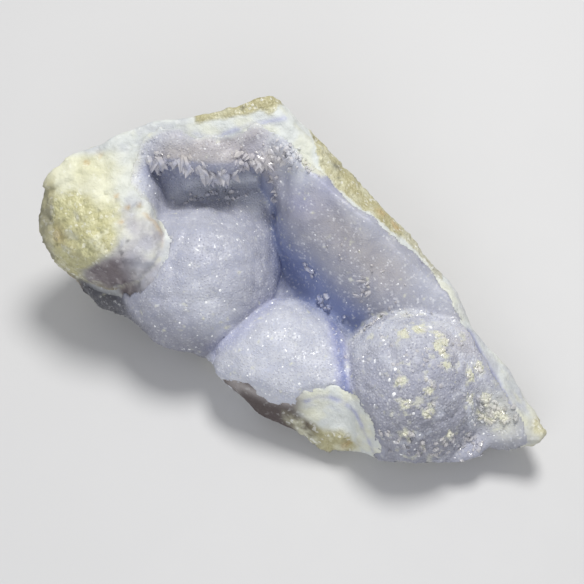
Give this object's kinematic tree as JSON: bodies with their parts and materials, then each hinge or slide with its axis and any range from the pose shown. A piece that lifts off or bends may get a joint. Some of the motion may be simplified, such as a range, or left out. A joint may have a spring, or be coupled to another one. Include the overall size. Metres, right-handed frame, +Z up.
{
  "type": "chalcedony specimen",
  "caption": "Long pointed piece of blue chalcedony geode: open hollow lined with quartz crystals, rounded lobes, an overhanging rim and a raised block, on a flat base.",
  "frame": {"origin": "middle of the flat underside, which is the face the stone rests on", "axes": "+X along the length towards the pointed end, +Y towards the overhanging rim, +Z up out of the hollow"},
  "size_m": [0.1008, 0.0659, 0.0385],
  "materials": {
    "stone": "dull broken chalcedony, white to lavender with yellow-olive rind",
    "druse": "sparkling fine quartz crystals over blue-violet chalcedony"
  },
  "bodies": {
    "root": {"chalcedony": "stone", "druse_crust": "druse"}
  },
  "joints": []
}
